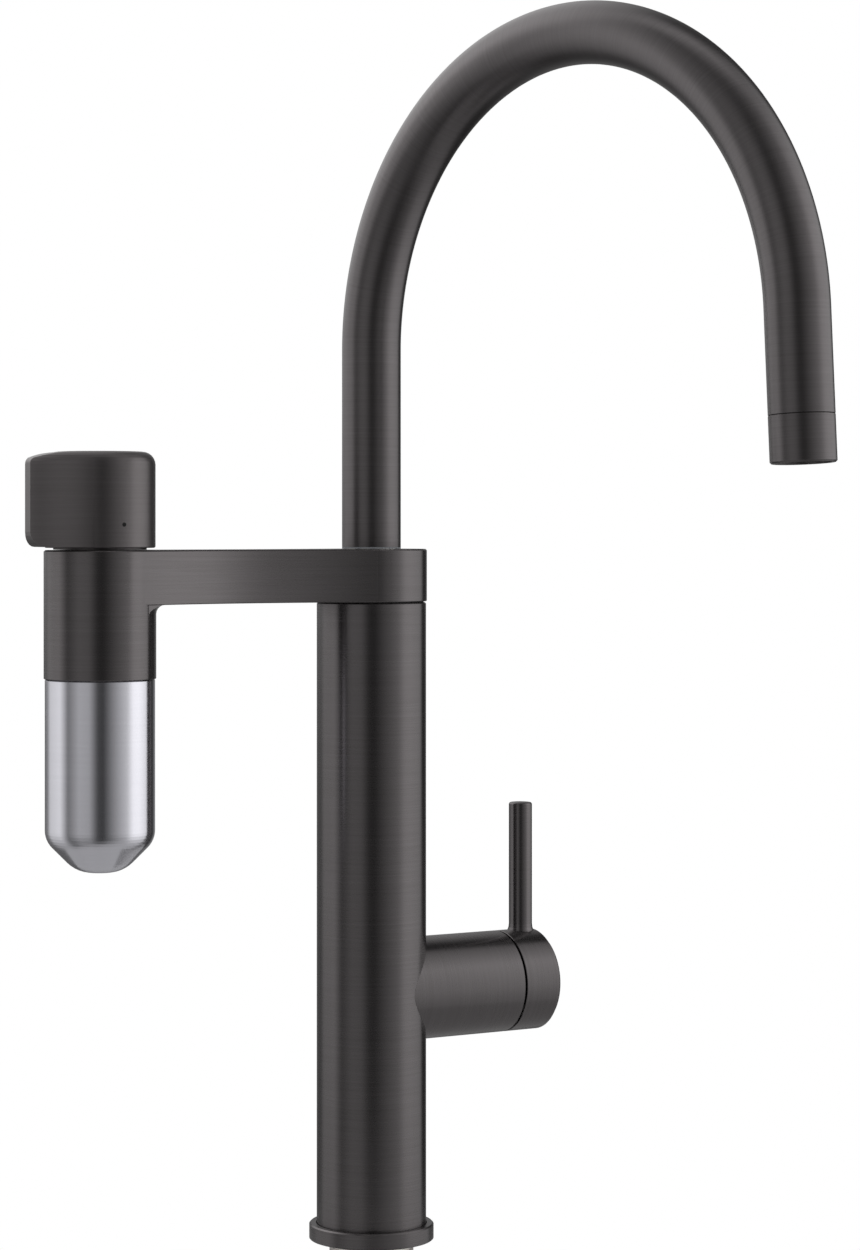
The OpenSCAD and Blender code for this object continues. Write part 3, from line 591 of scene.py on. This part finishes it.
def spout_tree():
    """Sweeps a tube up a riser, round an arch and down a straight end."""
    t, given, result = geometry_tree(
        "Swept Spout", [("Bottom", FLOAT), ("Arch Height", FLOAT), ("Arch Radius", FLOAT),
                        ("Sweep", FLOAT), ("Straight End", FLOAT), ("Tube Radius", FLOAT),
                        ("Around", WHOLE), ("Steps", WHOLE), ("Finish", MATERIAL)])
    g = given.outputs
    riser = t.math("SUBTRACT", g["Arch Height"], g["Bottom"])
    bend = t.math("MULTIPLY", g["Arch Radius"], g["Sweep"])
    total = t.math("ADD", t.math("ADD", riser, bend), g["Straight End"])
    line = t.add("GeometryNodeMeshLine", {"Count": g["Steps"]}, mode="END_POINTS")
    index = t.add("GeometryNodeInputIndex").outputs[0]
    share_done = t.math("DIVIDE", index, t.math("SUBTRACT", g["Steps"], 1.0))
    travelled = t.math("MULTIPLY", share_done, total)
    angle = t.math("MINIMUM", t.math("MAXIMUM", t.math("DIVIDE", t.math(
        "SUBTRACT", travelled, riser), g["Arch Radius"]), 0.0), g["Sweep"])
    rise = t.math("MINIMUM", travelled, riser)
    past = t.math("MAXIMUM", t.math("SUBTRACT", travelled, t.math("ADD", riser, bend)), 0.0)
    sine, cosine = t.math("SINE", angle), t.math("COSINE", angle)
    x = t.math("MULTIPLY_ADD", past, sine,
               t.math("MULTIPLY", g["Arch Radius"], t.math("SUBTRACT", 1.0, cosine)))
    z = t.math("ADD", t.math("MULTIPLY_ADD", past, cosine, g["Bottom"]),
               t.math("MULTIPLY_ADD", g["Arch Radius"], sine, rise))
    spot = t.add("ShaderNodeCombineXYZ", {0: x, 2: z}).outputs[0]
    laid = t.add("GeometryNodeSetPosition", {"Geometry": line.outputs[0], "Position": spot})
    heading = t.add("ShaderNodeCombineXYZ", {0: sine, 2: cosine}).outputs[0]
    path = t.add("GeometryNodeMeshToCurve", {0: laid.outputs[0]}).outputs[0]
    path = stored(t, path, "along", "FLOAT", travelled)
    path = stored(t, path, "run", "FLOAT_VECTOR", heading)
    circle = t.add("GeometryNodeCurvePrimitiveCircle",
                   {"Resolution": g["Around"], "Radius": g["Tube Radius"]}, mode="RADIUS")
    unit = t.vector("NORMALIZE", t.add("GeometryNodeInputPosition").outputs[0])
    ring = stored(t, circle.outputs[0], "ring", "FLOAT_VECTOR", unit)
    tube = t.add("GeometryNodeCurveToMesh", {"Curve": path, "Profile Curve": ring})
    end_tree(t, tube.outputs[0], g["Finish"], result)
    return t


def thread_tree():
    """Winds a screw thread's ridge up a cylinder."""
    t, given, result = geometry_tree(
        "Screw Thread", [("Core Radius", FLOAT), ("Depth", FLOAT), ("Pitch", FLOAT),
                         ("Turns", FLOAT), ("Bottom", FLOAT), ("Finish", MATERIAL)])
    g = given.outputs
    spiral = t.add("GeometryNodeCurveSpiral", {
        "Resolution": THREAD_AROUND, "Rotations": g["Turns"], "Start Radius": g["Core Radius"],
        "End Radius": g["Core Radius"], "Height": t.math("MULTIPLY", g["Pitch"], g["Turns"]),
        "Reverse": False})
    upright = t.add("GeometryNodeSetCurveNormal", {0: spiral.outputs[0]}, mode="Z_UP")
    ridge = t.add("GeometryNodeCurvePrimitiveQuadrilateral", mode="POINTS")
    foot = t.math("MULTIPLY", g["Pitch"], RIDGE_FOOT)
    crest = t.math("MULTIPLY", g["Pitch"], RIDGE_CREST)
    sunk = t.math("MULTIPLY", g["Depth"], -RIDGE_SUNK)
    for key, (a, b) in (("Point 1", (sunk, t.math("MULTIPLY", foot, -1.0))),
                        ("Point 2", (g["Depth"], t.math("MULTIPLY", crest, -1.0))),
                        ("Point 3", (g["Depth"], crest)), ("Point 4", (sunk, foot))):
        t.put(ridge.inputs[key], t.add("ShaderNodeCombineXYZ", {0: a, 1: b}).outputs[0])
    coil = t.add("GeometryNodeCurveToMesh", {"Curve": upright.outputs[0],
                                             "Profile Curve": ridge.outputs[0],
                                             "Fill Caps": True})
    lifted = t.add("GeometryNodeTransform", {
        "Geometry": coil.outputs[0],
        "Translation": t.add("ShaderNodeCombineXYZ", {2: g["Bottom"]}).outputs[0]})
    end_tree(t, lifted.outputs[0], g["Finish"], result)
    return t


def outlet_line(sizes):
    """Direction back up the straight end, and a point on it."""
    low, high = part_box("outlet_ring")
    lean = math.pi - sizes.sweep
    back = Vector((-math.sin(lean), 0, math.cos(lean)))
    axis = Matrix.Rotation(sizes.turn - math.pi / 2, 3, "Z") @ back
    return axis, (low + high) / 2


class TAP_OT_finishes(bpy.types.Operator):
    """Make the finishes that the tap's parts share"""

    bl_idname = "tap.finishes"
    bl_label = "Finishes"

    def execute(self, context):
        look = context.scene.tap_finish
        turned_grain_group()
        straight_grain_group()
        brushed_group()
        mottled_group()
        outlet_axis, outlet_spot = outlet_line(context.scene.tap_spout)
        dark = (look.gunmetal, look.gunmetal_shade)
        for name, grain in (
                ("gunmetal_column", ((0, 0, 0), (0, 0, 1))), ("gunmetal_arm", "straight"),
                ("gunmetal_lever", ((0, 0, LEVER_Z), (1, 0, 0))),
                ("gunmetal_rod", ((ROD_X, 0, 0), (0, 0, 1)))):
            brushed_metal(name, *dark, look.gunmetal_rough, grain)
        for name, grain in (("gunmetal_tube", "swept"),
                            ("gunmetal_outlet", (outlet_spot, outlet_axis))):
            brushed_metal(name, *dark, look.gunmetal_soft, grain, stretch=0.65)
        brushed_metal("gunmetal_knob", look.knob, look.knob_shade, look.knob_rough, "straight",
                      stretch=0.65)
        brushed_metal("stainless_capsule", look.stainless, look.stainless_shade,
                      look.stainless_rough, ((FILTER_X, 0, 0), (0, 0, 1)), stretch=0.9,
                      variation=0.04, bump=0.02, metallic=1.0)
        moulded("steel_plain", (0.5, 0.5, 0.51), 0.3, metallic=1.0, spread=0.2)
        moulded("brass_machined", look.brass, 0.3, metallic=1.0, spread=0.2)
        moulded("nickel_plated", look.nickel, 0.28, metallic=1.0, spread=0.15)
        moulded("copper_drawn", look.copper, 0.32, metallic=1.0, spread=0.25)
        moulded("rubber_matt", look.rubber, 0.7, spread=0.4, pits=1500.0, sheen=0.1)
        moulded("plastic_white", (0.78, 0.78, 0.75), 0.42)
        moulded("plastic_grey", (0.2, 0.21, 0.225), 0.45)
        moulded("plastic_black", (0.006, 0.006, 0.006), 0.85, spread=0.5)
        moulded("ceramic_lapped", (0.84, 0.82, 0.78), 0.15, spread=0.05, bump=0.02)
        moulded("filter_fibre", (0.74, 0.73, 0.68), 0.85, spread=0.35, pits=2500.0, bump=0.5)
        return {"FINISHED"}


class TAP_OT_body(bpy.types.Operator):
    """Dress the base flange, the column and the filter arm"""

    bl_idname = "tap.body"
    bl_label = "Body"

    def execute(self, context):
        dress("gunmetal_column", "base_flange", "column")
        dress("gunmetal_arm", "filter_arm")
        dress("plastic_black", "hub_washer")
        dress("steel_plain", "hub_screw", "spout_screw")
        return {"FINISHED"}


class TAP_OT_spout(bpy.types.Operator):
    """Sweep the spout tube and dress the pieces at its two ends"""

    bl_idname = "tap.spout"
    bl_label = "Spout"

    def execute(self, context):
        sizes = context.scene.tap_spout
        arch_height = SPOUT_TOP - sizes.arch - sizes.tube
        mesh = run_tree(spout_tree(), {
            "Bottom": RISER_BOTTOM, "Arch Height": arch_height, "Arch Radius": sizes.arch,
            "Sweep": sizes.sweep, "Straight End": sizes.straight, "Tube Radius": sizes.tube,
            "Around": sizes.around, "Steps": sizes.steps, "Finish": finish_of("gunmetal_tube")},
            [("SOLIDIFY", {"thickness": sizes.wall, "offset": -1.0, "use_rim": True})])
        mesh.transform(Matrix.Rotation(sizes.turn - math.pi / 2, 4, "Z"))
        shade(mesh, SPOUT_SHARP)
        add_mesh("swept_spout", mesh, "spout", "gunmetal", "spout_tube")
        dress("gunmetal_outlet", "outlet_ring")
        # The slide ring is a real part, but its light grey is painted highlight: its light line
        # stands in for the highlight along the hub's top edge
        dress("plastic_grey", "outlet_jet", "slide_ring")
        dress("plastic_white", "filtered_nozzle", "filtered_water_tube")
        dress("rubber_matt", "outlet_seal", "foot_o_rings")
        dress("nickel_plated", "spout_foot")
        return {"FINISHED"}


class TAP_OT_lever(bpy.types.Operator):
    """Dress the lever's cap, rod and cartridge"""

    bl_idname = "tap.lever"
    bl_label = "Lever"

    def execute(self, context):
        dress("gunmetal_lever", "lever_housing", "lever_cap")
        dress("gunmetal_rod", "lever_rod")
        dress("plastic_black", "dome_ring")
        dress("steel_plain", "lever_screw", "stem_pin")
        dress("brass_machined", "stem", "cartridge_nut")
        dress("plastic_grey", "cartridge_housing", "cartridge_carrier")
        dress("plastic_white", "disc_driver")
        dress("ceramic_lapped", "fixed_disc", "moving_disc")
        dress("rubber_matt", "cartridge_seals")
        return {"FINISHED"}


class TAP_OT_filter(bpy.types.Operator):
    """Dress the filter valve, its knob and the capsule"""

    bl_idname = "tap.filter"
    bl_label = "Filter"

    def execute(self, context):
        dress("gunmetal_knob", "filter_knob", "valve_nut")
        dress("plastic_black", "knob_index_dot")
        dress("steel_plain", "knob_screw")
        dress("stainless_capsule", "capsule_cup")
        dress("brass_machined", "valve_housing", "valve_spindle")
        dress("ceramic_lapped", "valve_fixed_disc", "valve_turning_disc")
        dress("rubber_matt", "valve_seal", "spindle_o_ring", "element_o_rings",
              "capsule_o_ring")
        dress("plastic_grey", "element_cap")
        dress("filter_fibre", "filter_element")
        return {"FINISHED"}


class TAP_OT_inside(bpy.types.Operator):
    """Dress the water ways inside the column"""

    bl_idname = "tap.inside"
    bl_label = "Inside of the Column"

    def execute(self, context):
        dress("brass_machined", "valve_manifold", "column_head")
        dress("copper_drawn", "mixed_water_pipe", "filter_feed_pipe")
        dress("plastic_white", "swivel_bush")
        dress("rubber_matt", "hub_o_rings", "base_seal")
        return {"FINISHED"}


class TAP_OT_fixing(bpy.types.Operator):
    """Thread the shank and dress the pieces that clamp the worktop"""

    bl_idname = "tap.fixing"
    bl_label = "Worktop Fixing"

    def execute(self, context):
        sizes = context.scene.tap_fixing
        radius, low, high = SHANK_HIGH.x, SHANK_LOW.z, SHANK_HIGH.z
        core, bore = radius - sizes.depth, radius - SHANK_WALL
        outline = rounded([(x, z, SHANK_ROUNDING) for x, z in
                           ((core, low), (core, high), (bore, high), (bore, low))])
        shank = lathe("threaded_shank", outline, SHANK_AROUND)
        shank.materials.append(finish_of("nickel_plated"))
        run = high - low - 2 * sizes.pitch
        thread = run_tree(thread_tree(), {
            "Core Radius": core, "Depth": sizes.depth, "Pitch": sizes.pitch,
            "Turns": run / sizes.pitch, "Bottom": low + sizes.pitch,
            "Finish": finish_of("nickel_plated")})
        form = bmesh.new()
        form.from_mesh(shank)
        form.from_mesh(thread)
        form.to_mesh(shank)
        form.free()
        shank.set_sharp_from_angle(angle=THREAD_SHARP)
        add_mesh("threaded_shank", shank, "tap_body", "brass", "shank")
        dress("rubber_matt", "deck_gasket")
        dress("steel_plain", "deck_washer")
        nut = hex_nut("chamfered_nut", *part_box("deck_nut"), radius + NUT_PLAY, sizes.nut_chamfer)
        nut.materials.append(finish_of("nickel_plated"))
        add_mesh("chamfered_nut", nut, "tap_body", "brass", "deck_nut")
        return {"FINISHED"}


class TAP_OT_studio(bpy.types.Operator):
    """Set the floor, the surround that the metal mirrors, the light and the camera"""

    bl_idname = "tap.studio"
    bl_label = "Studio"

    def execute(self, context):
        studio = context.scene.tap_studio
        look = Vector((math.sin(studio.bearing), math.cos(studio.bearing), 0))
        right = Vector((math.cos(studio.bearing), -math.sin(studio.bearing), 0))
        lens = bpy.data.cameras.new("camera")
        lens.lens = studio.lens
        lens.sensor_width = 36.0
        lens.shift_x, lens.shift_y = studio.shift
        lens.clip_start, lens.clip_end = 0.01, 100.0
        camera = new_object("camera", lens)
        camera.location = UP * studio.height - look * studio.distance - right * studio.aside
        camera.rotation_euler = (math.pi / 2, 0, -studio.bearing)
        context.scene.camera = camera
        context.scene.view_settings.view_transform = "Standard"
        self.floor(studio)
        self.surround(studio)
        self.world(context, studio)
        self.lamps(look, right)
        return {"FINISHED"}

    def floor(self, studio):
        """A pale disc that turns white towards its rim and has a level of its own in the metal."""
        form = bmesh.new()
        bmesh.ops.create_circle(form, cap_ends=True, segments=128, radius=studio.floor_radius)
        mesh = mesh_from("floor", form)
        floor = new_object("floor", mesh)
        floor.location.z = cad_box[0].z
        material = bpy.data.materials.new("pale_floor")
        t = bare_tree(material)
        place = t.add("ShaderNodeTexCoord").outputs["Object"]
        edge = t.smooth_step(t.vector("LENGTH", place), FLOOR_CORE,
                             studio.floor_radius * FLOOR_RIM)
        ray, mirrored = t.rays()
        share_white = t.math("MAXIMUM", t.math("MULTIPLY", edge, ray["Is Camera Ray"]), mirrored)
        strength = t.mix("FLOAT", mirrored, 1.0, studio.floor_mirrored)
        tone = t.mix("RGBA", t.noise(place, 300.0, 3.0), *FLOOR_TONES)
        matt = t.add("ShaderNodeBsdfDiffuse", {"Color": tone})
        white = t.add("ShaderNodeEmission", {"Color": WHITE, "Strength": strength})
        both = t.add("ShaderNodeMixShader", {0: share_white, 1: matt.outputs[0],
                                             2: white.outputs[0]})
        t.add("ShaderNodeOutputMaterial", {"Surface": both.outputs[0]})
        mesh.materials.append(material)

    def surround(self, studio):
        """A globe of grey and white cards that only the metal's reflections see."""
        form = bmesh.new()
        bmesh.ops.create_uvsphere(form, u_segments=64, v_segments=32, radius=studio.distance)
        mesh = mesh_from("studio_cards", form)
        cards = new_object("studio_cards", mesh)
        cards.location.z = CARDS_HEIGHT
        cards.rotation_euler.z = -math.pi / 2 - studio.bearing
        cards.visible_camera = False
        cards.visible_diffuse = False
        cards.visible_shadow = False
        cards.visible_transmission = False
        material = bpy.data.materials.new("studio_cards")
        t = bare_tree(material)
        towards = t.vector("NORMALIZE", t.add("ShaderNodeTexCoord").outputs["Object"])
        place = t.add("ShaderNodeSeparateXYZ", {0: towards})
        angle = t.math("ARCTAN2", place.outputs[1], place.outputs[0])
        turn = t.math("MULTIPLY_ADD", angle, 0.5 / math.pi, 0.5)
        level = self.levels(t, turn, SURROUND, 360)
        rise = t.math("MULTIPLY_ADD", t.math("ARCSINE", place.outputs[2]), 1 / math.pi, 0.5)
        share_up = self.levels(t, rise, RISE, 180)
        total = t.math("MULTIPLY", level, share_up)
        for *degrees, strength in WINDOWS:
            right, up, inner, outer = (math.radians(each) for each in degrees)
            middle = Vector((math.cos(up) * math.cos(right), math.cos(up) * math.sin(right),
                             math.sin(up)))
            near = t.vector("DOT_PRODUCT", towards, middle)
            window = t.smooth_step(near, math.cos(outer), math.cos(inner), strength)
            total = t.math("ADD", total, window)
        glow = t.add("ShaderNodeEmission", {"Color": WHITE, "Strength": total})
        t.add("ShaderNodeOutputMaterial", {"Surface": glow.outputs[0]})
        mesh.materials.append(material)

    def levels(self, t, factor, table, span):
        """Brightness by angle, from a table of (degrees, level); the span maps to 0 to 1."""
        ramp = t.add("ShaderNodeValToRGB", {0: factor})
        stops = ramp.color_ramp.elements
        while len(stops) > 1:
            stops.remove(stops[-1])
        for i, (degrees, level) in enumerate(table):
            where = 0.5 + degrees / span
            stop = stops[0] if i == 0 else stops.new(where)
            stop.position = where
            stop.color = (*[level / MOST_LEVEL] * 3, 1)
        return t.math("MULTIPLY", ramp.outputs[0], MOST_LEVEL)

    def world(self, context, studio):
        """Even light from all sides, which is plain white where it is seen or mirrored."""
        world = bpy.data.worlds.new("studio")
        context.scene.world = world
        t = bare_tree(world)
        ray, mirrored = t.rays()
        seen = t.math("MAXIMUM", ray["Is Camera Ray"], mirrored)
        level = t.mix("FLOAT", seen, studio.fill, 1.0)
        back = t.add("ShaderNodeBackground", {"Color": WHITE, "Strength": level})
        t.add("ShaderNodeOutputWorld", {"Surface": back.outputs[0]})

    def lamps(self, look, right):
        """Two large soft lamps; the metal mirrors the cards and not these."""
        for name, side, back, height, size, power in LAMPS:
            lamp = bpy.data.lights.new(name, "AREA")
            lamp.shape = "DISK"
            lamp.size = size
            lamp.energy = power
            held = new_object(name, lamp)
            held.location = right * side + look * back + UP * height
            held.rotation_euler = (LAMP_AIM - held.location).to_track_quat("-Z", "Y").to_euler()
            held.visible_glossy = False


class TAP_PT_panel(bpy.types.Panel):
    bl_idname = "TAP_PT_panel"
    bl_label = "Kitchen Mixer Tap"
    bl_space_type = "VIEW_3D"
    bl_region_type = "UI"
    bl_category = "Tap"

    def draw(self, context):
        for title, owner in (("Spout", "tap_spout"), ("Fixing", "tap_fixing"),
                             ("Finish", "tap_finish"), ("Studio", "tap_studio")):
            box = self.layout.box()
            box.label(text=title)
            group = getattr(context.scene, owner)
            for key in group.__annotations__:
                box.prop(group, key)
        for operator in OPERATORS:
            self.layout.operator(operator.bl_idname)


OPERATORS = (TAP_OT_finishes, TAP_OT_body, TAP_OT_spout, TAP_OT_lever, TAP_OT_filter,
             TAP_OT_inside, TAP_OT_fixing, TAP_OT_studio)
GROUPS = {"tap_spout": TapSpoutSizes, "tap_fixing": TapFixingSizes, "tap_finish": TapFinish,
          "tap_studio": TapStudio}


def register():
    for group in GROUPS.values():
        bpy.utils.register_class(group)
    for cls in (*OPERATORS, TAP_PT_panel):
        bpy.utils.register_class(cls)
    for name, group in GROUPS.items():
        setattr(bpy.types.Scene, name, PointerProperty(type=group))


def unregister():
    for name in GROUPS:
        delattr(bpy.types.Scene, name)
    for cls in (TAP_PT_panel, *reversed(OPERATORS), *GROUPS.values()):
        bpy.utils.unregister_class(cls)


def main():
    register()
    for operator in OPERATORS:
        part, name = operator.bl_idname.split(".")
        getattr(getattr(bpy.ops, part), name)()


if __name__ == "__main__":
    main()
